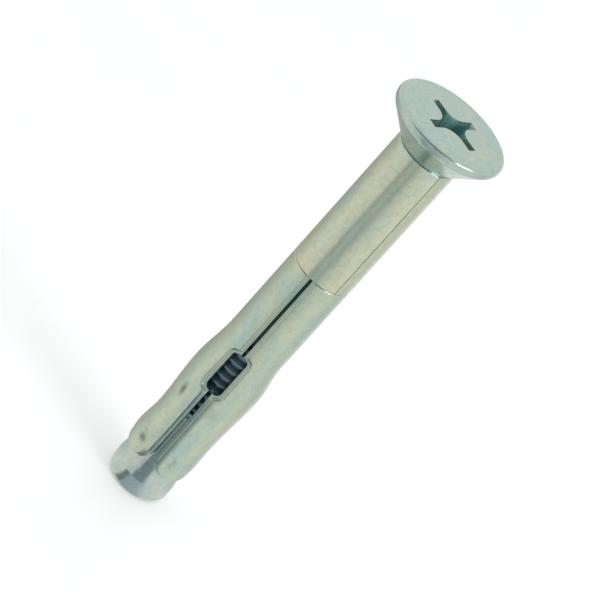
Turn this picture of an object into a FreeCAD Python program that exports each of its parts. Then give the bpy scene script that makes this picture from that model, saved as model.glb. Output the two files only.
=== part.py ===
import FreeCAD, Part
import math
import os

import Sketcher
from FreeCAD import Placement, Rotation, Vector

# Countersunk sleeve anchor, in millimetres. Z is the anchor's axis and points out of the wall;
# the origin is the middle of the head's flat face. Each sub-part is drawn downwards from its own
# top end and then placed on the axis. The front of the anchor, with the slot, faces -Y.

SIZES = [
    ("sleeve_diameter", 9.5, "outside of both sleeves, the nominal 3/8 in"),
    ("sheet_thickness", 0.75, "steel sheet that both sleeves are rolled from"),
    ("overall_length", 73.15, "head face to the end of the nut, 2 7/8 in"),
    ("bolt_length", 72.4, "head face to the bolt's tip"),
    ("head_diameter", 17.55, "countersunk head"),
    ("head_edge_height", 1.25, "upright edge round the head"),
    ("head_edge_round", 0.6, "rounding between that edge and the face"),
    ("seat_edge_round", 1.0, "rounding between that edge and the cone"),
    ("seat_half_angle", 45.0, "the head's cone, from the axis"),
    ("shank_diameter", 7.86, "plain shank, a running fit in the sleeves"),
    ("thread_diameter", 7.76, "5/16-18 UNC, outside of the bolt's thread"),
    ("thread_root_diameter", 6.2, "bottom of the bolt's thread"),
    ("thread_pitch", 1.411, "18 threads to the inch"),
    ("thread_flat", 0.2, "width of the flat at the bottom of a thread groove"),
    ("thread_play", 0.085, "radial clearance between the two threads"),
    ("thread_step", 0.2, "height of the shoulder where the shank ends in the thread"),
    ("thread_length", 31.4, "threaded end of the bolt"),
    ("tip_chamfer", 0.9, "lead-in at the bolt's tip"),
    ("recess_span", 9.3, "cross recess, tip to tip of two wings"),
    ("recess_wing", 1.4, "width of a wing"),
    ("recess_corner", 2.2, "rounded corner between two wings"),
    ("recess_depth", 3.9, "depth of the wings"),
    ("recess_taper", 0.5, "share of the outline left at that depth"),
    ("recess_point", 0.9, "cone below the wings"),
    ("recess_turn", 65.0, "direction of the first wing, from +X"),
    ("spacer_length", 23.41, "distance sleeve under the head"),
    ("spacer_top_depth", 5.42, "where it starts below the head face"),
    ("seam_gap", 0.1, "butt seam of the rolled distance sleeve"),
    ("seam_turn", -41.5, "direction of that seam, from +X"),
    ("edge_break", 0.08, "broken edges at the sleeve ends"),
    ("seat_relief", 0.65, "countersink in the distance sleeve for the head's cone"),
    ("sleeve_play", 0.04, "gap between the two sleeves"),
    ("leg_span", 120.0, "angle that each of the three legs takes up"),
    ("bend_depth", 18.81, "from the expansion sleeve's top to the bend line of its legs"),
    ("bend_gap", 0.03, "the legs start this far below the collar"),
    ("leg_end_depth", 39.2, "to the ends of the legs"),
    ("leg_end_thickness", 0.5, "sheet thinned at the ends of the legs"),
    ("right_swell_half", 3.2, "half the length of the right leg's upper swelling"),
    ("right_swell_radius", 5.47, "crest of that swelling"),
    ("right_waist_radius", 5.04, "hollow below it"),
    ("right_waist_depth", 32.8, "depth of the hollow"),
    ("right_ridge_radius", 5.11, "second ridge"),
    ("right_end_radius", 4.98, "outside at the end of the leg"),
    ("left_swell_half", 4.0, "the same for the left leg"),
    ("left_swell_radius", 5.36, "crest of the swelling"),
    ("left_waist_radius", 4.94, "hollow below it"),
    ("left_waist_depth", 32.2, "depth of the hollow"),
    ("left_ridge_radius", 5.28, "second ridge"),
    ("left_end_radius", 5.05, "outside at the end of the leg"),
    ("ridge_depth", 36.6, "depth of the second ridge on both legs"),
    ("slot_top_width", 0.5, "front slot at the expansion sleeve's top"),
    ("slot_neck_width", 0.5, "front slot where it meets the window"),
    ("slot_width", 0.7, "slots between the legs"),
    ("window_top_depth", 15.9, "top of the windows, one in each slot"),
    ("window_end_depth", 23.05, "bottom of the windows"),
    ("window_width", 2.85, "opening of a window"),
    ("window_round", 0.9, "rounded corners of a window"),
    ("corner_width", 2.7, "rounded leg corner, across"),
    ("corner_height", 3.3, "rounded leg corner, along the slot"),
    ("nut_length", 15.95, "cone nut"),
    ("nut_top_radius", 4.1, "its slim upper part, inside the legs"),
    ("nut_taper_start", 5.3, "from the nut's top to where it starts to widen"),
    ("nut_neck_depth", 10.85, "to the level of the leg ends"),
    ("nut_neck_radius", 4.43, "radius at that level"),
    ("nut_base_depth", 13.2, "to where it reaches full size"),
    ("nut_base_radius", 4.75, "full size, as the sleeve"),
    ("nut_end_round", 1.0, "rounded lower edge"),
    ("nut_bore_diameter", 6.4, "inside of the nut's thread"),
    ("nut_bore_chamfer", 0.5, "thread entry at the nut's lower end"),
    ("rib_width", 0.4, "ribs on the nut that slide in the slots"),
    ("rib_radius", 4.6, "how far the ribs stand out"),
    ("rib_start", 0.6, "ribs start this far below the nut's top"),
]
PAST = 1.0  # how far a cut runs past the metal that it removes
THREAD_PAST = 0.06  # the same for the open side of a thread groove

doc = FreeCAD.newDocument("SleeveAnchor")
sheet = doc.addObject("Spreadsheet::Sheet", "Sizes")
for row, (alias, value, meaning) in enumerate(SIZES, start=1):
    sheet.set(f"A{row}", meaning)
    sheet.set(f"B{row}", str(value))
    sheet.setAlias(f"B{row}", alias)
doc.recompute()


def new_body(name, top_depth):
    """A sub-part whose own zero lies top_depth below the head face."""
    body = doc.addObject("PartDesign::Body", name)
    body.Label = name
    body.setExpression("Placement.Base.z", f"-({top_depth})")
    return body


def rotate_about_axis(sketch, plane, text):
    """Turn a sketch about the anchor's axis, by an expression in degrees."""
    upright = Vector(0, 0, 1) if plane == "XY_Plane" else Vector(0, 1, 0)
    angle = float(sketch.evalExpression(text))
    sketch.AttachmentOffset = Placement(Vector(), Rotation(upright, angle))
    sketch.setExpression("AttachmentOffset.Rotation.Angle", text)


def bind(sketch, constraint, text):
    number = sketch.addConstraint(constraint)
    sketch.setExpression(f"Constraints[{number}]", text)


def origin_plane(body, role):
    return next(item for item in body.Origin.OriginFeatures if item.Role == role)


def arc_between(start, end, radius, turn):
    """The short arc from start to end, anticlockwise where turn is 1 and clockwise where it is -1."""
    chord = end - start
    reach = math.sqrt(max(radius**2 - (chord.Length / 2) ** 2, 0.0))
    left = Vector(-chord.y, chord.x, 0).normalize()
    centre = (start + end) / 2 + left * reach * turn
    first, last = (start, end) if turn > 0 else (end, start)
    angles = [math.atan2(point.y - centre.y, point.x - centre.x) for point in (first, last)]
    if angles[1] < angles[0]:
        angles[1] += 2 * math.pi
    circle = Part.Circle(centre, Vector(0, 0, 1), radius)
    return Part.ArcOfCircle(circle, *angles)


def outline(body, name, plane, corners, turn_by=None):
    """A closed sketch. A corner is (across, up), or (across, up, radius, turn) where an arc leaves it.

    All of them are expressions of the sheet's cells, and turn is 1 or -1 as in arc_between. turn_by
    turns the sketch about the anchor's axis.
    """
    sketch = body.newObject("Sketcher::SketchObject", name)
    sketch.AttachmentSupport = [(origin_plane(body, plane), "")]
    sketch.MapMode = "FlatFace"
    points = [Vector(*(float(sketch.evalExpression(text)) for text in corner[:2]), 0) for corner in corners]
    starts = []
    for index, corner in enumerate(corners):
        start, end = points[index], points[(index + 1) % len(points)]
        if len(corner) == 2:
            sketch.addGeometry(Part.LineSegment(start, end))
            starts.append(1)
            continue
        radius_text, turn = corner[2:]
        radius = float(sketch.evalExpression(radius_text))
        sketch.addGeometry(arc_between(start, end, radius, turn))
        starts.append(1 if turn > 0 else 2)
        bind(sketch, Sketcher.Constraint("Radius", index, radius), radius_text)
    for index, corner in enumerate(corners):
        following = (index + 1) % len(corners)
        own_end = 3 - starts[index]
        sketch.addConstraint(Sketcher.Constraint("Coincident", index, own_end, following, starts[following]))
        for kind, text, value in zip(("DistanceX", "DistanceY"), corner[:2], points[index]):
            bind(sketch, Sketcher.Constraint(kind, -1, 1, index, starts[index], value), text)
    if turn_by:
        rotate_about_axis(sketch, plane, turn_by)
    return sketch


def circle_sketch(body, name, radius_text):
    sketch = body.newObject("Sketcher::SketchObject", name)
    sketch.AttachmentSupport = [(origin_plane(body, "XY_Plane"), "")]
    sketch.MapMode = "FlatFace"
    radius = float(sketch.evalExpression(radius_text))
    sketch.addGeometry(Part.Circle(Vector(), Vector(0, 0, 1), radius))
    sketch.addConstraint(Sketcher.Constraint("Coincident", 0, 3, -1, 1))
    bind(sketch, Sketcher.Constraint("Radius", 0, radius), radius_text)
    return sketch


def feature(body, kind, name, sketch, **settings):
    """Add a PartDesign feature made from a sketch, and make sure that it changed the solid."""
    before = body.Shape.Volume if body.Tip else 0.0
    item = body.newObject(f"PartDesign::{kind}", name)
    item.Profile = sketch
    for key, value in settings.items():
        setattr(item, key, value)
    doc.recompute()
    if "Invalid" in item.State or abs(item.Shape.Volume - before) < 1e-4:
        raise RuntimeError(f"{name} did nothing: {item.State}")
    return item


def turned(body, name, sketch, angle=360.0):
    return feature(body, "Revolution", name, sketch, ReferenceAxis=(sketch, ["V_Axis"]), Angle=angle,
                   Midplane=True)


def turned_cut(body, name, sketch):
    return feature(body, "Groove", name, sketch, ReferenceAxis=(sketch, ["V_Axis"]), Angle=360.0)


def through_cut(body, name, sketch, side="Symmetric"):
    """Cut through everything: both ways, or from the axis outwards where side is "One side"."""
    return feature(body, "Pocket", name, sketch, Type="ThroughAll", SideType=side,
                   Reversed=side == "One side")


def thread_cut(body, name, bottom, height, inner, outer, inner_width, side_step):
    """A helical groove of V section, from bottom upwards. Its width is inner_width at radius inner."""
    half = f"({inner_width}) / 2"
    outer_half = f"{half} + ({side_step}) * (({outer}) - ({inner})) * tan(30)"
    corners = [
        (inner, f"{bottom} - {half}"),
        (outer, f"{bottom} - ({outer_half})"),
        (outer, f"{bottom} + {outer_half}"),
        (inner, f"{bottom} + {half}"),
    ]
    sketch = outline(body, f"{name}_section", "XZ_Plane", corners)
    helix = feature(body, "SubtractiveHelix", name, sketch, ReferenceAxis=(sketch, ["V_Axis"]), Mode=0,
                    Pitch=float(sheet.thread_pitch), Height=float(sketch.evalExpression(height)),
                    LeftHanded=False)
    helix.setExpression("Pitch", "Sizes.thread_pitch")
    helix.setExpression("Height", height)
    return helix


# ---- countersunk bolt ----------------------------------------------------------------------------

HEAD_RADIUS = "Sizes.head_diameter / 2"
SHANK_RADIUS = "Sizes.shank_diameter / 2"
THREAD_RADIUS = "Sizes.thread_diameter / 2"
ROOT_RADIUS = "Sizes.thread_root_diameter / 2"
TIP = "-Sizes.bolt_length"


def bolt_profile():
    seat_end = f"-(Sizes.head_edge_height + ({HEAD_RADIUS} - {SHANK_RADIUS}) / tan(Sizes.seat_half_angle))"
    edge_tangent = "Sizes.seat_edge_round * tan(Sizes.seat_half_angle / 2)"
    thread_top = f"{TIP} + Sizes.thread_length"
    return [
        ("0", "0"),
        (f"{HEAD_RADIUS} - Sizes.head_edge_round", "0", "Sizes.head_edge_round", -1),
        (HEAD_RADIUS, "-Sizes.head_edge_round"),
        (HEAD_RADIUS, f"-(Sizes.head_edge_height - {edge_tangent})", "Sizes.seat_edge_round", -1),
        (f"{HEAD_RADIUS} - {edge_tangent} * sin(Sizes.seat_half_angle)",
         f"-(Sizes.head_edge_height + {edge_tangent} * cos(Sizes.seat_half_angle))"),
        (SHANK_RADIUS, seat_end),
        (SHANK_RADIUS, thread_top),
        (THREAD_RADIUS, f"{thread_top} - Sizes.thread_step"),
        (THREAD_RADIUS, f"{TIP} + Sizes.tip_chamfer"),
        (f"{THREAD_RADIUS} - Sizes.tip_chamfer", TIP),
        ("0", TIP),
    ]


def cross_outline(body, name, share, depth):
    """The cross recess at one depth: four wings joined by rounded corners, scaled by share."""
    reach = f"Sizes.recess_span / 2 * {share}"
    half = f"Sizes.recess_wing / 2 * {share}"
    corner = f"(Sizes.recess_wing / 2 + Sizes.recess_corner) * {share}"
    wing = [(reach, f"-{half}"), (reach, half), (corner, half)]
    corners = []
    for quarter in range(4):
        for across, up in wing:
            for _ in range(quarter):
                across, up = f"-({up})", across
            corners.append((across, up))
        corners[-1] += (f"Sizes.recess_corner * {share}", -1)
        across, up = half, corner
        for _ in range(quarter):
            across, up = f"-({up})", across
        corners.append((across, up))
    sketch = outline(body, name, "XY_Plane", corners, turn_by="Sizes.recess_turn")
    sketch.setExpression("AttachmentOffset.Base.z", f"-({depth})")
    return sketch


bolt = new_body("countersunk_bolt", "0")
turned(bolt, "bolt_blank", outline(bolt, "bolt_profile", "XZ_Plane", bolt_profile()))

recess_top = cross_outline(bolt, "recess_top", "1", "0")
recess_floor = cross_outline(bolt, "recess_floor", "Sizes.recess_taper", "Sizes.recess_depth")
feature(bolt, "SubtractiveLoft", "cross_recess", recess_top, Sections=[recess_floor], Ruled=True)

point_radius = "(Sizes.recess_wing / 2 + Sizes.recess_corner) * Sizes.recess_taper"
point_outline = outline(bolt, "recess_point_outline", "XZ_Plane", [
    ("0", "-Sizes.recess_depth + Sizes.recess_corner / 2"),
    (point_radius, "-Sizes.recess_depth + Sizes.recess_corner / 2"),
    (point_radius, "-Sizes.recess_depth"),
    ("0", "-(Sizes.recess_depth + Sizes.recess_point)"),
])
turned_cut(bolt, "recess_point_cut", point_outline)

thread_cut(bolt, "bolt_thread", f"{TIP} - Sizes.thread_pitch", "Sizes.thread_length",
           ROOT_RADIUS, f"{THREAD_RADIUS} + {THREAD_PAST}", "Sizes.thread_flat", "1")

# ---- distance sleeve, a rolled tube with a butt seam ---------------------------------------------

SLEEVE_RADIUS = "Sizes.sleeve_diameter / 2"
SLEEVE_BORE = f"({SLEEVE_RADIUS} - Sizes.sheet_thickness)"

spacer = new_body("spacer_sleeve", "Sizes.spacer_top_depth")
turned(spacer, "spacer_tube", outline(spacer, "spacer_profile", "XZ_Plane", [
    (f"{SLEEVE_BORE} + Sizes.seat_relief", "0"),
    (f"{SLEEVE_RADIUS} - Sizes.edge_break", "0"),
    (SLEEVE_RADIUS, "-Sizes.edge_break"),
    (SLEEVE_RADIUS, "-Sizes.spacer_length + Sizes.edge_break"),
    (f"{SLEEVE_RADIUS} - Sizes.edge_break", "-Sizes.spacer_length"),
    (SLEEVE_BORE, "-Sizes.spacer_length"),
    (SLEEVE_BORE, "-Sizes.seat_relief"),
]))
seam = outline(spacer, "seam_outline", "XY_Plane", [
    (f"{SLEEVE_BORE} - {PAST}", "-Sizes.seam_gap / 2"),
    (f"{SLEEVE_RADIUS} + {PAST}", "-Sizes.seam_gap / 2"),
    (f"{SLEEVE_RADIUS} + {PAST}", "Sizes.seam_gap / 2"),
    (f"{SLEEVE_BORE} - {PAST}", "Sizes.seam_gap / 2"),
], turn_by="Sizes.seam_turn")
through_cut(spacer, "butt_seam", seam)

# ---- expansion sleeve: a collar and three legs that bend at the windows ---------------------------

SLEEVE_TOP = "Sizes.spacer_top_depth + Sizes.spacer_length + Sizes.sleeve_play"
BEND = "Sizes.bend_depth"
LEG_SIDES = ["right", "back", "left"]  # anticlockwise from the front slot, seen from the head
HALF_SLOT = "Sizes.slot_width / 2"
HALF_WINDOW = "Sizes.window_width / 2"
WINDOW_ROUND = "Sizes.window_round"


def side_size(side, name):
    """A size of one leg. The back leg is midway between the other two."""
    if side == "back":
        return f"((Sizes.right_{name} + Sizes.left_{name}) / 2)"
    return f"Sizes.{side}_{name}"


def side_stations(side):
    """Radius and depth of the places where one side of the sleeve runs straight up and down."""
    swell = side_size(side, "swell_half")
    return [
        (SLEEVE_RADIUS, f"{BEND} - {swell}"),
        (side_size(side, "swell_radius"), f"{BEND} + {swell}"),
        (side_size(side, "waist_radius"), side_size(side, "waist_depth")),
        (side_size(side, "ridge_radius"), "Sizes.ridge_depth"),
        (side_size(side, "end_radius"), "Sizes.leg_end_depth"),
    ]


def s_curve(upper, lower):
    """Midpoint and arc radius of the S of two equal arcs between two upright tangents."""
    rise = f"(({lower[0]}) - ({upper[0]}))"
    drop = f"(({lower[1]}) - ({upper[1]}))"
    middle = (f"(({upper[0]}) + ({lower[0]})) / 2", f"(({upper[1]}) + ({lower[1]})) / 2")
    return middle, f"({drop}^2 + {rise}^2) / (4 * abs({rise}))"


def sheet_faces(stations):
    """The sheet's outer and inner face, downwards, as rows of [radius, depth, arc radius, bulge].

    The arc leaves the row's point downwards, and bulges outwards where bulge is 1.
    """
    outer = []
    for upper, lower in zip(stations, stations[1:]):
        middle, arc_radius = s_curve(upper, lower)
        widens = float(sheet.evalExpression(lower[0])) > float(sheet.evalExpression(upper[0]))
        bulge = -1 if widens else 1
        outer.append([*upper, arc_radius, bulge])
        outer.append([*middle, arc_radius, -bulge])
    outer.append([*stations[-1], None, 0])
    inner = [[f"({row[0]}) - Sizes.sheet_thickness", *row[1:]] for row in outer]
    return outer, inner


def wall_outline(outer, inner):
    """Close two wall faces into one outline: down the outer face and up the inner one."""
    def corner(row, arc_row, turn):
        radius, depth = row[:2]
        arc = (arc_row[2], turn * arc_row[3]) if arc_row and arc_row[2] else ()
        return (f"({radius})", f"-({depth})", *arc)

    upwards = inner[::-1]
    return [corner(row, row, -1) for row in outer] + [
        corner(row, arc_row, 1) for row, arc_row in zip(upwards, upwards[1:] + [None])
    ]


def collar_outline(side):
    """The collar's section on one side, from its top to the bend line."""
    stations = side_stations(side)
    outer, inner = sheet_faces(stations[:2])
    top_outer = [
        [f"{SLEEVE_RADIUS} - Sizes.edge_break", "0", None, 0],
        [SLEEVE_RADIUS, "Sizes.edge_break", None, 0],
    ]
    top_inner = [[SLEEVE_BORE, "0", None, 0]]
    for face in (outer, inner):
        face[1][2] = None
    return wall_outline(top_outer + outer[:2], top_inner + inner[:2])


def leg_outline(side):
    """A leg's section at its middle. Below the second ridge it thins towards its end."""
    outer, inner = (face[1:] for face in sheet_faces(side_stations(side)))
    for face in (outer, inner):
        face[0][1] = f"{BEND} + Sizes.bend_gap"
    thinned_end = [f"{side_size(side, 'end_radius')} - Sizes.leg_end_thickness", "Sizes.leg_end_depth"]
    ridge = inner[-3]
    return wall_outline(outer, inner[:-3] + [[*ridge[:2], None, 0], [*thinned_end, None, 0]])


def leg_edge_outline(sign):
    """What the slot, the window and the rounded corner take off one edge of a leg."""
    window_end = "-Sizes.window_end_depth"
    leg_end = "-Sizes.leg_end_depth"
    corner_radius = "(Sizes.corner_width^2 + Sizes.corner_height^2) / (2 * Sizes.corner_width)"
    shape = [
        (f"-{PAST}", f"-{BEND} + {PAST}"),
        (HALF_WINDOW, f"-{BEND} + {PAST}"),
        (HALF_WINDOW, f"{window_end} + {WINDOW_ROUND}", WINDOW_ROUND, -sign),
        (f"{HALF_WINDOW} - {WINDOW_ROUND}", window_end),
        (HALF_SLOT, window_end),
        (HALF_SLOT, f"{leg_end} + Sizes.corner_height", corner_radius, sign),
        (f"{HALF_SLOT} + Sizes.corner_width", leg_end),
        (f"{HALF_SLOT} + Sizes.corner_width", f"{leg_end} - {PAST}"),
        (f"-{PAST}", f"{leg_end} - {PAST}"),
    ]
    return [(f"{sign} * ({corner[0]})",) + corner[1:] for corner in shape]


def window_top_outline():
    inset = f"({HALF_WINDOW} - {WINDOW_ROUND})"
    shoulder = f"-(Sizes.window_top_depth + {WINDOW_ROUND})"
    return [
        (f"-{HALF_WINDOW}", f"-{BEND} - {PAST}"),
        (HALF_WINDOW, f"-{BEND} - {PAST}"),
        (HALF_WINDOW, shoulder, WINDOW_ROUND, 1),
        (inset, "-Sizes.window_top_depth"),
        (f"-{inset}", "-Sizes.window_top_depth", WINDOW_ROUND, 1),
        (f"-{HALF_WINDOW}", shoulder),
    ]


collar = new_body("expansion_sleeve_collar", SLEEVE_TOP)
for number, side in enumerate(LEG_SIDES):
    middle = f"({number} + 0.5) * Sizes.leg_span - 90"
    sketch = outline(collar, f"collar_{side}_section", "XZ_Plane", collar_outline(side), turn_by=middle)
    turned(collar, f"collar_{side}", sketch, angle=float(sheet.leg_span))
for number, side in enumerate(LEG_SIDES):
    sketch = outline(collar, f"window_{number}_outline", "XZ_Plane", window_top_outline(),
                     turn_by=f"{number} * Sizes.leg_span")
    through_cut(collar, f"window_{number}_top", sketch, side="One side")
slot_outline = outline(collar, "front_slot_outline", "XZ_Plane", [
    ("-Sizes.slot_neck_width / 2", f"-(Sizes.window_top_depth + {PAST})"),
    ("Sizes.slot_neck_width / 2", f"-(Sizes.window_top_depth + {PAST})"),
    ("Sizes.slot_top_width / 2", f"{PAST}"),
    ("-Sizes.slot_top_width / 2", f"{PAST}"),
])
through_cut(collar, "front_slot", slot_outline, side="One side")

legs = []
for number, side in enumerate(LEG_SIDES):
    leg = new_body(f"expansion_leg_{side}", SLEEVE_TOP)
    leg.setExpression("Placement.Rotation.Angle", f"({number} + 0.5) * Sizes.leg_span - 90")
    section = outline(leg, f"{side}_leg_section", "XZ_Plane", leg_outline(side))
    turned(leg, f"{side}_leg_shell", section, angle=float(sheet.leg_span))
    for sign in (1, -1):
        edge_name = f"{side}_leg_edge_{'start' if sign == 1 else 'end'}"
        sketch = outline(leg, f"{edge_name}_outline", "XZ_Plane", leg_edge_outline(sign),
                         turn_by=f"90 - {sign} * Sizes.leg_span / 2")
        through_cut(leg, edge_name, sketch, side="One side")
    legs.append(leg)

# ---- cone nut ------------------------------------------------------------------------------------

NUT_TOP = "Sizes.overall_length - Sizes.nut_length"
NUT_END = "-Sizes.nut_length"

nut = new_body("cone_nut", NUT_TOP)
turned(nut, "nut_blank", outline(nut, "nut_profile", "XZ_Plane", [
    ("0", "0"),
    ("Sizes.nut_top_radius", "0"),
    ("Sizes.nut_top_radius", "-Sizes.nut_taper_start"),
    ("Sizes.nut_neck_radius", "-Sizes.nut_neck_depth"),
    ("Sizes.nut_base_radius", "-Sizes.nut_base_depth"),
    ("Sizes.nut_base_radius", f"{NUT_END} + Sizes.nut_end_round", "Sizes.nut_end_round", -1),
    ("Sizes.nut_base_radius - Sizes.nut_end_round", NUT_END),
    ("0", NUT_END),
]))
for number in range(len(LEG_SIDES)):
    sketch = outline(nut, f"rib_{number}_outline", "XZ_Plane", [
        ("-Sizes.rib_width / 2", "-Sizes.nut_base_depth"),
        ("Sizes.rib_width / 2", "-Sizes.nut_base_depth"),
        ("Sizes.rib_width / 2", "-Sizes.rib_start"),
        ("-Sizes.rib_width / 2", "-Sizes.rib_start"),
    ], turn_by=f"{number} * Sizes.leg_span")
    rib = feature(nut, "Pad", f"rib_{number}", sketch, Length=float(sheet.rib_radius))
    rib.setExpression("Length", "Sizes.rib_radius")
through_cut(nut, "nut_bore", circle_sketch(nut, "nut_bore_outline", "Sizes.nut_bore_diameter / 2"))
turned_cut(nut, "thread_entry", outline(nut, "thread_entry_outline", "XZ_Plane", [
    ("0", f"{NUT_END} + Sizes.nut_bore_chamfer"),
    ("Sizes.nut_bore_diameter / 2", f"{NUT_END} + Sizes.nut_bore_chamfer"),
    ("Sizes.nut_bore_diameter / 2 + Sizes.nut_bore_chamfer", NUT_END),
    ("0", NUT_END),
]))
# the nut's groove lies half a pitch from the bolt's, so that the two threads are in mesh
NUT_CREST = f"(Sizes.nut_bore_diameter / 2 - {THREAD_PAST})"
groove_bottom = f"{TIP} - Sizes.thread_pitch + {NUT_TOP} - Sizes.thread_pitch / 2"
bolt_crest = f"(Sizes.thread_pitch - Sizes.thread_flat - 2 * ({THREAD_RADIUS} - {ROOT_RADIUS}) * tan(30))"
groove_depth = f"({THREAD_RADIUS} - {NUT_CREST})"
groove_width = f"{bolt_crest} + 2 * Sizes.thread_play / cos(30) + 2 * {groove_depth} * tan(30)"
thread_cut(nut, "nut_thread", groove_bottom, "Sizes.nut_length + 4 * Sizes.thread_pitch",
           NUT_CREST, f"{THREAD_RADIUS} + Sizes.thread_play", groove_width, "-1")

# ---- check and write -----------------------------------------------------------------------------

parts = [bolt, spacer, collar, *legs, nut]
doc.recompute()
for item in doc.Objects:
    if {"Invalid", "Error"} & set(item.State):
        raise RuntimeError(f"{item.Label} did not build: {item.State}")
os.makedirs("parts", exist_ok=True)
for part in parts:
    shape = part.Shape
    if shape.isNull() or not shape.isValid():
        raise RuntimeError(f"{part.Label} has no valid shape")
    shape.exportStep(f"parts/{part.Label}.step")
    print(part.Label, len(shape.Solids), "solid", round(shape.Volume, 2), "mm3", shape.BoundBox)
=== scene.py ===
import math

import bmesh
import bpy
import numpy as np
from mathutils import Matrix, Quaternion, Vector


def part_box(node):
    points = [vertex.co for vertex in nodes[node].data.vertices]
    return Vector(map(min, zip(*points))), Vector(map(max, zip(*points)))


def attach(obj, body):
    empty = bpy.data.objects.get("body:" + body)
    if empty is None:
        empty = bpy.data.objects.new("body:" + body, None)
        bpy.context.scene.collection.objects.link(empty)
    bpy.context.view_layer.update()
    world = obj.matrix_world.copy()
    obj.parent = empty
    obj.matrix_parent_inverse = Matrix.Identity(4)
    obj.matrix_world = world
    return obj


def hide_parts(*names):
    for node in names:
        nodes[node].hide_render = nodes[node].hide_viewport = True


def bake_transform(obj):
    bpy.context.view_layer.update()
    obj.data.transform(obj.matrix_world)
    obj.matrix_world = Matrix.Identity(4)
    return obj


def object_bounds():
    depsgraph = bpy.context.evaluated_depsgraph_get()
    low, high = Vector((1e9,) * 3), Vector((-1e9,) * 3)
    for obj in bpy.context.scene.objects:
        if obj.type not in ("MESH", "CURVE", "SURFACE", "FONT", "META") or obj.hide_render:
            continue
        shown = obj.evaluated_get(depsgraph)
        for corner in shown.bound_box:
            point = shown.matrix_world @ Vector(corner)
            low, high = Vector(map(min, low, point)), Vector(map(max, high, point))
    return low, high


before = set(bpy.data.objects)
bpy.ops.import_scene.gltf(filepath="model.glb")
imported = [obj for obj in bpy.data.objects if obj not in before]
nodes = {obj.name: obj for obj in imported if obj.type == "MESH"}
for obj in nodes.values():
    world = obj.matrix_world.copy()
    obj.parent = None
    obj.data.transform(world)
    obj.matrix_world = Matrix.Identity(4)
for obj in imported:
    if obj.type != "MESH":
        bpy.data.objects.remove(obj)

# A countersunk sleeve anchor, standing upright on the end of its cone nut. The bolt, the distance
# sleeve and the nut are the CAD solids. The expansion sleeve is rebuilt here as sheet with worked
# edges: a collar, and three legs that bend out of it. Lengths are in metres, except where a
# comment says millimetres, and azimuths go from the right, with the front at -90 degrees.

MM = 0.001
CAD_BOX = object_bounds()
COLLAR_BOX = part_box("expansion_sleeve_collar")
SPACER_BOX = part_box("spacer_sleeve")

AXIS_FRONT = math.radians(-90)  # azimuth of the front slot
SLEEVE_RADIUS = SPACER_BOX[1].x
SLEEVE_TOP = COLLAR_BOX[1].z
BEND_LINE = COLLAR_BOX[0].z
LEG_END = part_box("expansion_leg_right")[0].z
FLOOR = CAD_BOX[0].z

SHEET = 0.75 * MM
END_SHEET = 0.5 * MM  # the sheet is thinner at the ends of the legs
JOIN = BEND_LINE + 4.3 * MM  # collar above, legs below, in the straight part of the sleeve
WINDOW_TOP = BEND_LINE + 2.91 * MM
WINDOW_BOTTOM = BEND_LINE - 4.24 * MM
WINDOW_ROUND = 0.9 * MM
HALF_WINDOW = 1.425 * MM
HALF_SLOT = 0.35 * MM
HALF_SLOT_TOP = 0.25 * MM  # front slot above its window
CORNER_WIDTH = 2.7 * MM
CORNER_HEIGHT = 3.3 * MM
SPAN = math.radians(120)  # a leg, with half of the opening on either side of it

# how finely the sheet is meshed
LEG_STEP = 0.42 * MM  # between rows of points
COLLAR_STEP = 0.5 * MM
LEVEL_REACH = 0.9 * MM  # rows are closer together this near to an edge
LEVEL_ROWS = 14
LEAST_STEP = 0.02 * MM
EDGE_REACH = 1.1 * MM  # columns are closer together this near to an edge
EDGE_COLUMNS = 18
EDGE_GROWTH = 1.2
EDGE_SHARE = 0.4  # the most of a row's width that one edge's close columns take up
LEG_COLUMNS = 34
COLLAR_COLUMNS = 120
ROUND_ROWS = 10  # on each rounded end of a window
END_POINTS = 60  # of the outline along the end of a leg
SHARP_FOLD = math.radians(38)  # a fold beyond this is shaded as an edge
POINTS_AT_ONCE = 2000  # compared with an outline together, which keeps the tables small

# coined edges: width, and depth as a share of it
SLOT_LIP = (0.6 * MM, 0.4)
WINDOW_LIP = (0.65 * MM, 0.6)
LOWER_LIP = (0.65 * MM, 0.18)
END_LIP = (0.4 * MM, 0.4)
NO_LIP = (1e-9, 0.0)
CREASE_SHADE = 0.5  # how dark the painted shade on the shoulder of a lip is
DARK_DENT = 0.1 * MM  # a dent this deep gets the full painted shade
LIP_SHOULDER = 0.45  # share of a lip's width in which it drops to its ledge
LEDGE_SLOPE = 0.25  # share of a lip's depth that falls evenly across its whole width
LIP_EASE = 0.8 * MM  # below a window its coined edge passes into the slot's within this height
MOST_PRESSED = 0.7  # the most of the sheet's thickness that is pressed away
RIM_HEIGHT = 0.15 * MM  # the collar's upper edge is rounded over this height
RIM_DEPTH = 0.12 * MM

# each leg, in millimetres: half length of the swelling and radius of its crest, distance of the
# hollow below the bend line and its radius, and the radii of the ridge and the end
LEG_SHAPES = {
    "right": {
        "swell_half": 3.2, "swell": 5.47, "waist_below": 13.99, "waist": 5.04, "ridge": 5.11, "end": 4.98,
    },
    "left": {
        "swell_half": 4.0, "swell": 5.36, "waist_below": 13.39, "waist": 4.94, "ridge": 5.28, "end": 5.05,
    },
}
LEG_SHAPES["back"] = {
    key: (LEG_SHAPES["right"][key] + LEG_SHAPES["left"][key]) / 2 for key in LEG_SHAPES["right"]
}
RIDGE_BELOW = 17.79  # the ridge lies this far below the bend line, in millimetres
LEG_AZIMUTHS = {"right": -30, "back": 90, "left": 210}  # in degrees

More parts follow.
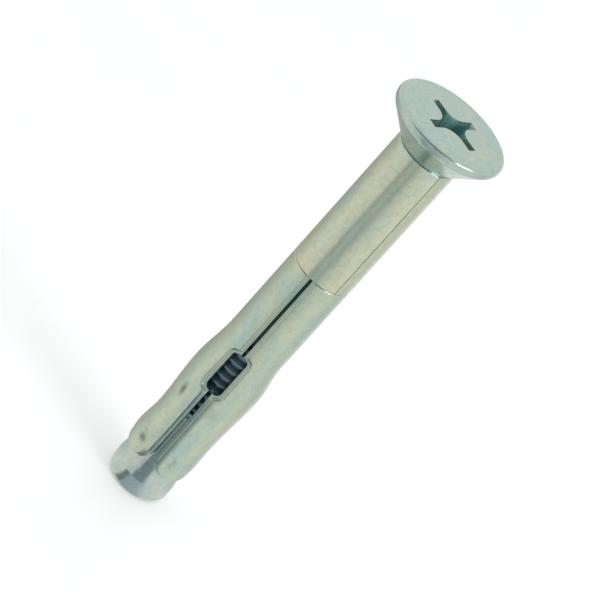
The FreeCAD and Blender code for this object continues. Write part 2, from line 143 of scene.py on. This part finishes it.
# shallow dents in the legs: leg, azimuth in degrees, then in millimetres the distance below the bend
# line, half width, half height and depth
DENTS = [
    ("left", -128, 7.3, 0.4, 1.1, 0.12),
    ("left", -124, 17.3, 0.6, 0.5, 0.15),
    ("left", -129, 16.2, 0.5, 0.3, 0.05),
    ("left", -104, 18.6, 0.3, 0.8, 0.08),
    ("right", -57, 16.8, 0.3, 0.35, 0.06),
    ("right", -58, 17.8, 0.25, 0.45, 0.06),
    ("right", -66, 6.9, 1.0, 1.1, 0.02),
]


# ---- the expansion sleeve ------------------------------------------------------------------------


def leg_stations(side):
    """Height and outer radius of the places where a leg runs straight up and down."""
    shape = LEG_SHAPES[side]
    half = shape["swell_half"] * MM
    return [
        (BEND_LINE + half, SLEEVE_RADIUS),
        (BEND_LINE - half, shape["swell"] * MM),
        (BEND_LINE - shape["waist_below"] * MM, shape["waist"] * MM),
        (BEND_LINE - RIDGE_BELOW * MM, shape["ridge"] * MM),
        (LEG_END, shape["end"] * MM),
    ]


def leg_radius(side, height):
    """Outer radius of a leg at each height: half waves from station to station."""
    stations = leg_stations(side)
    radius = np.full_like(height, stations[0][1])
    for (top, wide), (low, narrow) in zip(stations, stations[1:]):
        share = np.clip((top - height) / (top - low), 0, 1)
        radius += (narrow - wide) * (1 - np.cos(np.pi * share)) / 2
    return radius


def leg_thickness(height):
    """The sheet thins from the ridge to the end of the leg."""
    ridge = BEND_LINE - RIDGE_BELOW * MM
    share = np.clip((ridge - height) / (ridge - LEG_END), 0, 1)
    return SHEET + (END_SHEET - SHEET) * share


def quarter(share):
    """Height of a quarter circle over its base, from 0 at 0 to 1 at 1."""
    return np.sqrt(np.clip(1 - (1 - np.clip(share, 0, 1)) ** 2, 0, 1))


def half_opening(height, above):
    """Half the gap between two legs at each height; above is half the slot above the window."""
    gap = np.full_like(height, above)
    top = quarter((WINDOW_TOP - height) / WINDOW_ROUND)
    gap = gap + (HALF_WINDOW - above) * top
    below = height < WINDOW_BOTTOM + WINDOW_ROUND
    gap[below] = HALF_SLOT + (HALF_WINDOW - HALF_SLOT) * quarter(
        (height[below] - WINDOW_BOTTOM) / WINDOW_ROUND
    )
    bend = (CORNER_WIDTH**2 + CORNER_HEIGHT**2) / (2 * CORNER_WIDTH)
    drop = np.clip(LEG_END + CORNER_HEIGHT - height, 0, None)
    return gap + np.where(drop > 0, bend - np.sqrt(bend**2 - drop**2), 0)


def edge_lip(height, above):
    """Width and depth share of the coined edge at a height, none on a back edge above its window."""
    if height > WINDOW_TOP:
        return SLOT_LIP if above > 0 else NO_LIP
    if height > WINDOW_BOTTOM - LIP_EASE:
        low, high, top = LOWER_LIP, WINDOW_LIP, WINDOW_BOTTOM
        share = (top - height) / LIP_EASE
    else:
        low, high, top = END_LIP, LOWER_LIP, LEG_END + CORNER_HEIGHT
        share = (top - height) / CORNER_HEIGHT
    share = min(1.0, max(0.0, share))
    return tuple(upper + (lower - upper) * share for lower, upper in zip(low, high))


def clustered(low, high, step, levels):
    """Values from high to low in steps, and closer together around each of the levels."""
    values = set(np.linspace(high, low, max(2, round((high - low) / step) + 1)))
    near = [LEVEL_REACH * share**2 for share in np.linspace(0, 1, LEVEL_ROWS)]
    for level in levels:
        values |= {level + side * offset for offset in near for side in (-1, 1)}
    ordered = sorted((value for value in values if low <= value <= high), reverse=True)
    kept = [ordered[0]]
    for value in ordered[1:]:
        if kept[-1] - value > LEAST_STEP:
            kept.append(value)
    kept[-1] = low
    return np.array(kept)


def angles_across(start, end, radius, count):
    """For each row, the azimuths of its points from start to end, closer together at both edges."""
    steps = range(EDGE_COLUMNS + 1)
    edge = np.array([EDGE_REACH * (step / EDGE_COLUMNS) ** EDGE_GROWTH for step in steps])
    inner = np.linspace(0, 1, count)[1:-1]
    rows = []
    for first, last, size in zip(start, end, radius):
        near = np.minimum(edge / size, (last - first) * EDGE_SHARE * edge / edge[-1])
        middle = first + near[-1] + (last - first - 2 * near[-1]) * inner
        rows.append(np.concatenate([first + near, middle, (last - near)[::-1]]))
    return np.array(rows)


def worked_edge(angle, height, outline):
    """How far the outer face is pressed in near an outline of (azimuth, height, lip width, lip depth).

    Also gives how close each point is to the middle of the lip's shoulder, from 0 to 1.
    """
    points = np.array(outline)
    flat_angle, flat_height = angle.ravel(), height.ravel()
    drop, crease = np.zeros(flat_angle.size), np.zeros(flat_angle.size)
    for first in range(0, flat_angle.size, POINTS_AT_ONCE):
        rows = slice(first, first + POINTS_AT_ONCE)
        across = (flat_angle[rows, None] - points[None, :, 0]) * SLEEVE_RADIUS
        along = flat_height[rows, None] - points[None, :, 1]
        share = np.hypot(across, along) / points[None, :, 2]
        nearest = share.argmin(axis=1)
        left = np.clip(1 - share[np.arange(nearest.size), nearest], 0, 1)
        shoulder = np.clip(left / LIP_SHOULDER, 0, 1)
        shape = (1 - LEDGE_SLOPE) * shoulder**2 * (3 - 2 * shoulder) + LEDGE_SLOPE * left
        drop[rows] = points[nearest, 2] * points[nearest, 3] * shape
        crease[rows] = 4 * shoulder * (1 - shoulder)
    return drop.reshape(angle.shape), crease.reshape(angle.shape)


def dents(side, angle, height):
    """How far a leg's dents press its outer face in."""
    drop = np.zeros_like(height)
    for leg, azimuth, below, wide, tall, depth in DENTS:
        if leg == side:
            turn = np.radians((azimuth - LEG_AZIMUTHS[side] + 180) % 360 - 180 + LEG_AZIMUTHS[side])
            across = (angle - turn) * SLEEVE_RADIUS
            along = height - (BEND_LINE - below * MM)
            drop += depth * MM * np.exp(-((across / (wide * MM)) ** 2) - (along / (tall * MM)) ** 2)
    return drop


def paint_sheet_shade(piece, amount):
    """Paint shade onto the outer face's points, which come first, by the amounts from 0 to 1."""
    values = np.concatenate([amount.ravel(), np.zeros(amount.size)]).astype(np.float32)
    piece.data.attributes.new("painted_shade", "FLOAT", "POINT").data.foreach_set("value", values)


def shell(name, angle, height, outer_radius, inner_radius):
    """A closed sheet solid from two grids of the same size, the outer and the inner face."""
    rows, count = angle.shape
    points = []
    for radius in (outer_radius, inner_radius):
        grid = np.stack([radius * np.cos(angle), radius * np.sin(angle), height], axis=-1)
        points.extend(map(tuple, grid.reshape(-1, 3)))

    def at(face, row, column):
        return (face * rows + row) * count + column

    faces = []
    for row in range(rows - 1):
        for column in range(count - 1):
            for face in (0, 1):
                faces.append((at(face, row, column), at(face, row + 1, column),
                              at(face, row + 1, column + 1), at(face, row, column + 1)))
        for column in (0, count - 1):
            faces.append((at(0, row, column), at(1, row, column),
                          at(1, row + 1, column), at(0, row + 1, column)))
    for column in range(count - 1):
        for row in (0, rows - 1):
            faces.append((at(0, row, column), at(0, row, column + 1),
                          at(1, row, column + 1), at(1, row, column)))
    mesh = bpy.data.meshes.new(name)
    mesh.from_pydata(points, [], faces)
    work = bmesh.new()
    work.from_mesh(mesh)
    bmesh.ops.recalc_face_normals(work, faces=work.faces)
    for face in work.faces:
        face.smooth = True
    for edge in work.edges:
        edge.smooth = edge.calc_face_angle(math.pi) < SHARP_FOLD
    work.to_mesh(mesh)
    work.free()
    piece = bpy.data.objects.new(name, mesh)
    bpy.context.scene.collection.objects.link(piece)
    return piece


def leg_piece(side):
    """One leg, from the collar down: half of two windows, two slot edges and a rounded end."""
    middle = math.radians(LEG_AZIMUTHS[side])
    above = {-1: 0.0, 1: 0.0}
    above.update({"right": {-1: HALF_SLOT_TOP}, "left": {1: HALF_SLOT_TOP}}.get(side, {}))
    arcs = [WINDOW_ROUND * (1 - math.cos(turn)) for turn in np.linspace(0, math.pi / 2, ROUND_ROWS)]
    heights = clustered(LEG_END, JOIN, LEG_STEP, [WINDOW_TOP, WINDOW_BOTTOM, LEG_END])
    extra = [WINDOW_TOP - drop for drop in arcs] + [WINDOW_BOTTOM + drop for drop in arcs]
    heights = np.array(sorted({*heights, *extra}, reverse=True))
    radius = leg_radius(side, heights)
    edges = {}
    outline = []
    for sign in (-1, 1):
        gap = half_opening(heights, above[sign])
        edges[sign] = middle + sign * (SPAN / 2 - np.arcsin(gap / radius))
        for turn, level in zip(edges[sign], heights):
            outline.append((turn, level, *edge_lip(level, above[sign])))
    for turn in np.linspace(edges[-1][-1], edges[1][-1], END_POINTS):
        outline.append((turn, LEG_END, *END_LIP))
    angle = angles_across(edges[-1], edges[1], radius, LEG_COLUMNS)
    height = np.repeat(heights[:, None], angle.shape[1], axis=1)
    outer = np.repeat(radius[:, None], angle.shape[1], axis=1)
    inner = outer - np.repeat(leg_thickness(heights)[:, None], angle.shape[1], axis=1)
    lip, crease = worked_edge(angle, height, outline)
    dented = dents(side, angle, height)
    pressed = np.minimum(lip + dented, (outer - inner) * MOST_PRESSED)
    piece = shell(f"expansion_leg_{side}_sheet", angle, height, outer - pressed, inner)
    # painted shade in the dents and along the shoulders of the coined edges
    paint_sheet_shade(piece, np.clip(np.maximum(dented / DARK_DENT, crease * CREASE_SHADE), 0, 1))
    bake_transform(piece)
    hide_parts(f"expansion_leg_{side}")
    return piece


def collar_piece():
    """The unslotted part of the sleeve, with the front slot running up through it."""
    heights = clustered(JOIN, SLEEVE_TOP, COLLAR_STEP, [SLEEVE_TOP])
    gap = math.asin(HALF_SLOT_TOP / SLEEVE_RADIUS)
    start, end = (np.full_like(heights, AXIS_FRONT + turn) for turn in (gap, 2 * math.pi - gap))
    angle = angles_across(start, end, np.full_like(heights, SLEEVE_RADIUS), COLLAR_COLUMNS)
    height = np.repeat(heights[:, None], angle.shape[1], axis=1)
    outline = [(turn, level, *SLOT_LIP) for edge in (start, end) for turn, level in zip(edge, heights)]
    pressed, crease = worked_edge(angle, height, outline)
    rounding = np.clip(1 - (SLEEVE_TOP - height) / RIM_HEIGHT, 0, 1) ** 2 * RIM_DEPTH
    outer = SLEEVE_RADIUS - np.maximum(pressed, rounding)
    inner = np.full_like(outer, SLEEVE_RADIUS - SHEET)
    piece = shell("expansion_sleeve_sheet", angle, height, outer, inner)
    # painted shade along the shoulders of the slot's coined edges
    paint_sheet_shade(piece, crease * CREASE_SHADE)
    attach(piece, "expansion_sleeve")
    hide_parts("expansion_sleeve_collar")
    return piece


# ---- materials -----------------------------------------------------------------------------------

# the colour of the painted shade in the sheet's creases and dents
PAINTED_SHADE_TINT = (0.4, 0.44, 0.45)
SHANK_SHADE = (0.07, 0.1, 0.1)  # painted shade on the shank inside the sleeve
# painted shade with a bluish painted reflection on the thread inside the sleeve
THREAD_SHADE = (0.3, 0.37, 0.48)
# painted shade, tinted teal, inside the recess of the head
RECESS_SHADE = (0.55, 0.8, 0.86)

# the bolt's zones of painted shade fade between two heights, or for the recess also between two distances
# from the axis
SHANK_FADE = (SLEEVE_TOP + 1.6 * MM, SLEEVE_TOP + 2 * MM)
THREAD_FADE = (WINDOW_TOP - 0.2 * MM, WINDOW_TOP + 0.4 * MM)
RECESS_SIDE_FADE = (5.1 * MM, 5.3 * MM)
RECESS_TOP_FADE = (-0.3 * MM, -0.05 * MM)
RECESS_FLOOR_FADE = (-6 * MM, -5.9 * MM)
DULL_METAL = 0.6  # how metallic the thread and the recess are

# the patterns in the plating: scale, detail and roughness of each noise, and stretch along the axis
WANDER, WANDER_STRETCH = (260, 3.0, 0.6), (1, 1, 0.45)
PATCHES = (1100, 4.0, 0.65)
GRAINS = (5200, 2.0, 0.5)
LINES, LINE_STRETCH = (4200, 3.0, 0.6), (1, 1, 0.03)
WAVES, WAVE_STRETCH = (420, 2.0, 0.5), (1, 1, 0.35)
PATCH_SHADES = [(0.3, (0.86, 0.87, 0.88)), (0.55, (1.0, 1.0, 1.0)), (0.75, (1.04, 1.03, 0.99))]
GRAIN_SHADES = [(0.35, (0.93, 0.93, 0.93)), (0.6, (1.03, 1.03, 1.03))]
PATCH_AMOUNT = 0.75
GRAIN_AMOUNT = 0.7
PATCH_GLOSS = (0.05, -0.04)  # added to the roughness, from the darkest patches to the palest
LINE_GLOSS = (-0.04, 0.05)
WAVE_BUMP = (0.35, 0.03 * MM)  # strength and depth
LINE_BUMP = (0.35, 0.004 * MM)
GRAIN_BUMP = (0.5, 0.004 * MM)


def new_material(name):
    material = bpy.data.materials.new(name)
    material.use_nodes = True
    tree = material.node_tree
    tree.nodes.clear()
    output = tree.nodes.new("ShaderNodeOutputMaterial")
    return material, tree, output


def node(tree, kind, settings=None, **inputs):
    """Add a node; settings are its properties and inputs its sockets, as values or links."""
    made = tree.nodes.new(kind)
    for key, value in (settings or {}).items():
        setattr(made, key, value)
    for key, value in inputs.items():
        socket = made.inputs[key.replace("_", " ")]
        if isinstance(value, bpy.types.NodeSocket):
            tree.links.new(value, socket)
        else:
            socket.default_value = value
    return made


def scaled(tree, coordinates, scale):
    return node(tree, "ShaderNodeMapping", Vector=coordinates, Scale=scale).outputs["Vector"]


def noise(tree, vector, scale, detail, roughness):
    made = node(tree, "ShaderNodeTexNoise", Vector=vector, Scale=scale, Detail=detail,
                Roughness=roughness)
    return made.outputs["Fac"]


def ramp(tree, factor, stops):
    """A colour ramp with stops of (position, colour)."""
    made = node(tree, "ShaderNodeValToRGB", Fac=factor)
    elements = made.color_ramp.elements
    elements[0].position, elements[0].color = stops[0][0], (*stops[0][1], 1)
    elements[1].position, elements[1].color = stops[-1][0], (*stops[-1][1], 1)
    for position, colour in stops[1:-1]:
        elements.new(position).color = (*colour, 1)
    return made.outputs["Color"]


def mix(tree, kind, factor, first, second):
    """Mix two colours. The node has a set of sockets for each type; 6 and 7 take colours."""
    made = node(tree, "ShaderNodeMix", {"data_type": "RGBA", "blend_type": kind})
    for index, value in ((0, factor), (6, first), (7, second)):
        if isinstance(value, bpy.types.NodeSocket):
            tree.links.new(value, made.inputs[index])
        else:
            made.inputs[index].default_value = value
    return made.outputs[2]


def value_range(tree, value, low, high, to_low, to_high):
    made = node(tree, "ShaderNodeMapRange", Value=value)
    for index, number in enumerate((low, high, to_low, to_high), start=1):
        made.inputs[index].default_value = number
    return made.outputs["Result"]


def product(tree, first, second):
    made = node(tree, "ShaderNodeMath", {"operation": "MULTIPLY"})
    tree.links.new(first, made.inputs[0])
    tree.links.new(second, made.inputs[1])
    return made.outputs[0]


def bolt_shade_zones(tree, place, colour):
    """Paint shade onto the bolt inside the sleeve and in its recess; also gives how metallic it is."""
    parts = node(tree, "ShaderNodeSeparateXYZ", Vector=place).outputs
    shank = value_range(tree, parts["Z"], *SHANK_FADE, 1, 0)
    thread = value_range(tree, parts["Z"], *THREAD_FADE, 1, 0)
    flat = node(tree, "ShaderNodeVectorMath", {"operation": "MULTIPLY"}, Vector=place)
    flat.inputs[1].default_value = (1, 1, 0)
    radius = node(tree, "ShaderNodeVectorMath", {"operation": "LENGTH"})
    tree.links.new(flat.outputs["Vector"], radius.inputs[0])
    within = value_range(tree, radius.outputs["Value"], *RECESS_SIDE_FADE, 1, 0)
    below_face = value_range(tree, parts["Z"], *RECESS_TOP_FADE, 1, 0)
    above_floor = value_range(tree, parts["Z"], *RECESS_FLOOR_FADE, 0, 1)
    recess = product(tree, product(tree, within, below_face), above_floor)
    # painted shade: nearly black on the shank inside the sleeve, with a bluish painted reflection on the
    # thread
    dark = mix(tree, "MIX", thread, (*SHANK_SHADE, 1), (*THREAD_SHADE, 1))
    colour = mix(tree, "MULTIPLY", shank, colour, dark)
    # painted shade in the recess
    colour = mix(tree, "MULTIPLY", recess, colour, (*RECESS_SHADE, 1))
    dull = node(tree, "ShaderNodeMath", {"operation": "MAXIMUM"})
    tree.links.new(thread, dull.inputs[0])
    tree.links.new(recess, dull.inputs[1])
    return colour, value_range(tree, dull.outputs[0], 0, 1, 1, DULL_METAL)


def zinc(name, pale, warm, cool, roughness, drawn=1.0, mottle=1.0, zones=None):
    """Zinc plate: a tint that wanders, fine mottling, drawing lines along the axis, and painted shade in
    a sheet's creases and dents.
    """
    material, tree, output = new_material(name)
    place = node(tree, "ShaderNodeTexCoord").outputs["Object"]
    wander = noise(tree, scaled(tree, place, WANDER_STRETCH), *WANDER)
    colour = ramp(tree, wander, [(0.32, cool), (0.5, pale), (0.68, warm)])
    patches = noise(tree, place, *PATCHES)
    shade = ramp(tree, patches, PATCH_SHADES)
    colour = mix(tree, "MULTIPLY", PATCH_AMOUNT * mottle, colour, shade)
    grains = noise(tree, place, *GRAINS)
    grain_shade = ramp(tree, grains, GRAIN_SHADES)
    colour = mix(tree, "MULTIPLY", GRAIN_AMOUNT * mottle, colour, grain_shade)
    lines = noise(tree, scaled(tree, place, LINE_STRETCH), *LINES)
    # painted shade in the sheet's creases and dents, from the sheet's point attribute
    painted_shade = node(tree, "ShaderNodeAttribute", {"attribute_name": "painted_shade"}).outputs["Fac"]
    colour = mix(tree, "MULTIPLY", painted_shade, colour, (*PAINTED_SHADE_TINT, 1))
    metal = 1.0
    if zones:
        colour, metal = zones(tree, place, colour)
    gloss = value_range(tree, patches, 0.3, 0.7, *(roughness + change for change in PATCH_GLOSS))
    rough = node(tree, "ShaderNodeMath", {"operation": "ADD"})
    tree.links.new(gloss, rough.inputs[0])
    tree.links.new(value_range(tree, lines, 0.3, 0.7, *LINE_GLOSS), rough.inputs[1])
    waves = noise(tree, scaled(tree, place, WAVE_STRETCH), *WAVES)
    bump = None
    for height, (strength, depth), amount in (
        (waves, WAVE_BUMP, 1.0), (lines, LINE_BUMP, drawn), (grains, GRAIN_BUMP, mottle),
    ):
        below = {"Normal": bump.outputs["Normal"]} if bump else {}
        bump = node(tree, "ShaderNodeBump", Strength=strength * amount, Distance=depth, Height=height,
                    **below)
    shader = node(tree, "ShaderNodeBsdfPrincipled", Base_Color=colour, Metallic=metal,
                  Roughness=rough.outputs[0], Normal=bump.outputs["Normal"])
    tree.links.new(shader.outputs["BSDF"], output.inputs["Surface"])
    return material


def dress(material, *pieces):
    """Give the pieces one material."""
    for piece in pieces:
        piece.data.materials.clear()
        piece.data.materials.append(material)


# ---- the stage -----------------------------------------------------------------------------------


def plane(name, half, height):
    """A level square round the axis; half is half its width."""
    mesh = bpy.data.meshes.new(name)
    corners = [(-half, -half, height), (half, -half, height), (half, half, height), (-half, half, height)]
    mesh.from_pydata(corners, [], [(0, 1, 2, 3)])
    made = bpy.data.objects.new(name, mesh)
    bpy.context.scene.collection.objects.link(made)
    return made


FLOOR_HALF = 4.0
FLOOR_GRAIN = (60, 3.0, 0.5)
FLOOR_SHADES = [(0.3, (0.94, 0.945, 0.94)), (0.7, (0.96, 0.96, 0.955))]
FLOOR_GLOW = 0.16  # makes up for the dark part of the room, so that the floor stays white


def floor_material():
    material, tree, output = new_material("pale_floor")
    place = node(tree, "ShaderNodeTexCoord").outputs["Object"]
    tone = ramp(tree, noise(tree, place, *FLOOR_GRAIN), FLOOR_SHADES)
    shader = node(tree, "ShaderNodeBsdfPrincipled", Base_Color=tone, Roughness=0.7,
                  Emission_Color=(1, 1, 1, 1), Emission_Strength=FLOOR_GLOW)
    tree.links.new(shader.outputs["BSDF"], output.inputs["Surface"])
    return material


def reflection_card(name, half, lift, stops):
    """A card just over the floor that only the anchor's gloss sees: paler and darker by direction."""
    card = plane(name, half, FLOOR + lift)
    material, tree, output = new_material(f"{name}_light")
    place = node(tree, "ShaderNodeTexCoord").outputs["Object"]
    turned = node(tree, "ShaderNodeMapping", Vector=place, Rotation=(0, 0, CARD_TURN))
    around = node(tree, "ShaderNodeTexGradient", {"gradient_type": "RADIAL"},
                  Vector=turned.outputs["Vector"])
    light = ramp(tree, around.outputs["Fac"], stops)
    shader = node(tree, "ShaderNodeEmission", Color=light, Strength=1.0)
    tree.links.new(shader.outputs["Emission"], output.inputs["Surface"])
    card.data.materials.append(material)
    card.visible_camera = False
    card.visible_diffuse = False
    card.visible_shadow = False


CAMERA_AZIMUTH = math.radians(3.3)
CAMERA_ELEVATION = math.radians(27.5)
CAMERA_ROLL = math.radians(42.0)
CAMERA_DISTANCE = 0.503
CAMERA_LENS = 222.0
CAMERA_CLIP = (0.01, 10)
AIM_POINT = Vector((0, 0, -31.64 * MM))
AIM_RIGHT = 1.506 * MM
AIM_UP = 2.255 * MM

# the cards' light by direction: 0.5 is in front of the anchor as the camera sees it, more is to the
# right, and 0 and 1 are behind it
CARD_TURN = math.pi / 2 - CAMERA_AZIMUTH
CARD_SIDES = [
    (0.0, (0.62, 0.62, 0.6)),
    (0.08, (0.48, 0.48, 0.47)),
    (0.17, (0.64, 0.64, 0.63)),
    (0.25, (0.86, 0.86, 0.85)),
    (0.31, (0.97, 0.97, 0.96)),
    (0.36, (0.9, 0.89, 0.88)),
    (0.63, (0.93, 0.93, 0.92)),
    (0.72, (1.0, 1.0, 0.98)),
    (0.82, (0.8, 0.8, 0.8)),
    (0.92, (1.0, 1.0, 1.0)),
]


def card_stops(*centre):
    """The sides' light with the given stops in front."""
    return sorted([*CARD_SIDES, *centre], key=lambda stop: stop[0])


FAR_STOPS = card_stops(
    (0.42, (0.88, 0.87, 0.86)), (0.44, (0.36, 0.39, 0.4)), (0.48, (0.6, 0.68, 0.74)),
    (0.52, (0.42, 0.47, 0.52)), (0.56, (0.78, 0.8, 0.8)),
)
MIDDLE_STOPS = card_stops(
    (0.45, (0.88, 0.88, 0.87)), (0.465, (0.25, 0.29, 0.31)), (0.56, (0.3, 0.34, 0.37)),
    (0.58, (1.0, 1.0, 1.0)),
)
NEAR_STOPS = card_stops(
    (0.4, (0.88, 0.88, 0.87)), (0.415, (0.25, 0.28, 0.3)), (0.445, (0.27, 0.3, 0.31)),
    (0.455, (0.45, 0.52, 0.63)), (0.55, (0.55, 0.62, 0.7)), (0.58, (0.82, 0.85, 0.86)),
)
CARDS = [  # name, half its width, height over the floor and light
    ("card_far", 600 * MM, 0.3 * MM, FAR_STOPS),
    ("card_middle", 34 * MM, 0.4 * MM, MIDDLE_STOPS),
    ("card_near", 10.5 * MM, 0.5 * MM, NEAR_STOPS),
]


def set_camera():
    """Look along the line of sight at the aim point, which lies off the middle of the picture."""
    back = Vector((
        math.sin(CAMERA_AZIMUTH) * math.cos(CAMERA_ELEVATION),
        -math.cos(CAMERA_AZIMUTH) * math.cos(CAMERA_ELEVATION),
        math.sin(CAMERA_ELEVATION),
    ))
    turn = (-back).to_track_quat("-Z", "Y") @ Quaternion((0, 0, 1), CAMERA_ROLL)
    aim = AIM_POINT - turn @ Vector((AIM_RIGHT, AIM_UP, 0))
    data = bpy.data.cameras.new("camera")
    data.lens = CAMERA_LENS
    data.clip_start, data.clip_end = CAMERA_CLIP
    camera = bpy.data.objects.new("camera", data)
    camera.location = aim + back * CAMERA_DISTANCE
    camera.rotation_mode = "QUATERNION"
    camera.rotation_quaternion = turn
    bpy.context.scene.collection.objects.link(camera)
    bpy.context.scene.camera = camera


KEY_PLACE = (0.57, -0.22, 0.3)
KEY_AIM = (0, 0, -0.035)
KEY_SIZE = (0.3, 0.12)
KEY_POWER = 1.0


def soft_light(name, place, aim, size, power):
    data = bpy.data.lights.new(name, "AREA")
    data.shape = "RECTANGLE"
    data.size, data.size_y = size
    data.energy = power
    lamp = bpy.data.objects.new(name, data)
    lamp.location = place
    lamp.rotation_mode = "QUATERNION"
    lamp.rotation_quaternion = (Vector(aim) - Vector(place)).to_track_quat("-Z", "Y")
    bpy.context.scene.collection.objects.link(lamp)


ROOM_STRENGTH = 0.95
ROOM_TINT = (0.97, 0.985, 0.98)
DARK_TINT = (0.3, 0.34, 0.37)
DARK_ELEVATION = math.radians(35)
DARK_CORE = math.radians(16)
DARK_EDGE = math.radians(34)
DARK_WIDENING = 2.2  # the dark part is wider than it is high


def set_world():
    """An even white room with a dark part in front, a little higher than the camera."""
    world = bpy.data.worlds.new("studio")
    world.use_nodes = True
    tree = world.node_tree
    background = tree.nodes["Background"]
    place = node(tree, "ShaderNodeTexCoord").outputs["Generated"]
    front = (0.0, -math.cos(DARK_ELEVATION), math.sin(DARK_ELEVATION))
    narrowed = node(tree, "ShaderNodeVectorMath", {"operation": "MULTIPLY"}, Vector=place)
    narrowed.inputs[1].default_value = (1 / DARK_WIDENING, 1, 1)
    level = node(tree, "ShaderNodeVectorMath", {"operation": "NORMALIZE"},
                 Vector=narrowed.outputs["Vector"])
    towards = node(tree, "ShaderNodeVectorMath", {"operation": "DOT_PRODUCT"},
                   Vector=level.outputs["Vector"])
    towards.inputs[1].default_value = front
    light = ramp(tree, towards.outputs["Value"], [
        (math.cos(DARK_EDGE), ROOM_TINT),
        (math.cos(DARK_CORE), DARK_TINT),
    ])
    tree.links.new(light, background.inputs["Color"])
    background.inputs["Strength"].default_value = ROOM_STRENGTH
    bpy.context.scene.world = world


# ---- put it together -----------------------------------------------------------------------------

# the tints of the plating on each piece, and its roughness
SLEEVE_ZINC = {
    "pale": (0.49, 0.57, 0.46), "warm": (0.56, 0.6, 0.44), "cool": (0.42, 0.55, 0.5), "roughness": 0.24,
}
SPACER_ZINC = {
    "pale": (0.56, 0.61, 0.47), "warm": (0.61, 0.61, 0.43), "cool": (0.5, 0.6, 0.52), "roughness": 0.24,
}
BOLT_ZINC = {
    "pale": (0.46, 0.56, 0.49), "warm": (0.5, 0.56, 0.47), "cool": (0.41, 0.54, 0.51), "roughness": 0.22,
}
NUT_ZINC = {
    "pale": (0.5, 0.58, 0.54), "warm": (0.53, 0.59, 0.51), "cool": (0.44, 0.54, 0.54), "roughness": 0.2,
}

legs = [leg_piece(side) for side in LEG_SHAPES]
collar = collar_piece()

dress(zinc("zinc_on_sleeve", **SLEEVE_ZINC), collar, *legs)
dress(zinc("zinc_on_spacer", **SPACER_ZINC, mottle=1.2), nodes["spacer_sleeve"])
dress(zinc("zinc_on_bolt", **BOLT_ZINC, drawn=0.4, zones=bolt_shade_zones), nodes["countersunk_bolt"])
dress(zinc("zinc_on_nut", **NUT_ZINC, drawn=0.3), nodes["cone_nut"])

dress(floor_material(), plane("floor", FLOOR_HALF, FLOOR))
for card in CARDS:
    reflection_card(*card)
set_world()
soft_light("key", KEY_PLACE, KEY_AIM, KEY_SIZE, KEY_POWER)
set_camera()
bpy.context.scene.view_settings.view_transform = "Standard"
